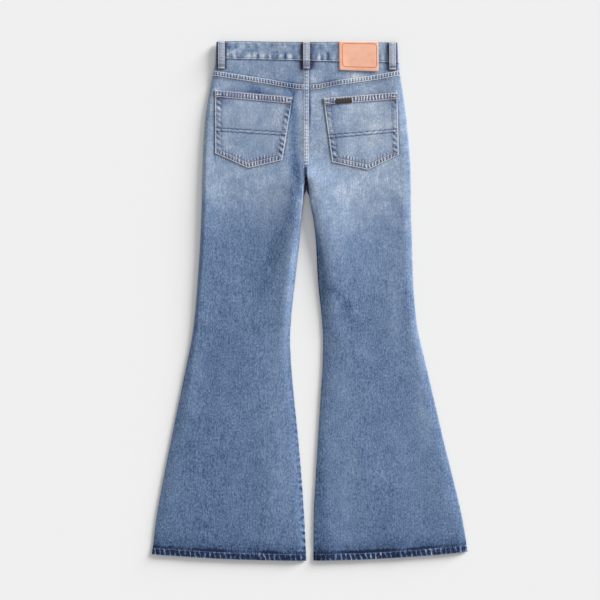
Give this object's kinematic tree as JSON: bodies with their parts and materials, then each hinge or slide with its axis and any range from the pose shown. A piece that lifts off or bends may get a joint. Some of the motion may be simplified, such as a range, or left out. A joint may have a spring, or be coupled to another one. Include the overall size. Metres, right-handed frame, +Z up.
{
  "type": "flared jeans",
  "caption": "Flared jeans laid flat, back side up, with yoke, patch pockets, belt loops, leather waist patch and closed fly.",
  "frame": {"origin": "centre of the garment's outline on the surface that it lies on", "axes": "+Z up from the surface through the back of the garment, +Y from the hems towards the waist, -X towards the wearer's left"},
  "size_m": [0.6544, 1.0755, 0.0143],
  "materials": {
    "denim": "washed indigo denim twill, light at the seat and mid blue on the legs",
    "leather": "smooth vegetable-tanned leather, satin",
    "tab": "dark woven tab",
    "button_metal": "aged brass",
    "zip_tape": "woven zip tape with metal teeth"
  },
  "bodies": {
    "root": {"back_leg_left": "denim", "back_leg_right": "denim", "front_leg_left": "denim", "front_leg_right": "denim", "back_yoke_left": "denim", "back_yoke_right": "denim", "waistband": "denim", "belt_loop_back_left": "denim", "belt_loop_back_centre": "denim", "belt_loop_back_right": "denim", "belt_loop_front_left": "denim", "belt_loop_front_right": "denim", "back_pocket_left": "denim", "back_pocket_right": "denim", "waist_patch": "leather", "pocket_tab": "tab", "pocket_facing_left": "denim", "pocket_facing_right": "denim", "fly_shield": "denim", "fly_zip": "zip_tape", "waist_button": "button_metal"}
  },
  "joints": []
}
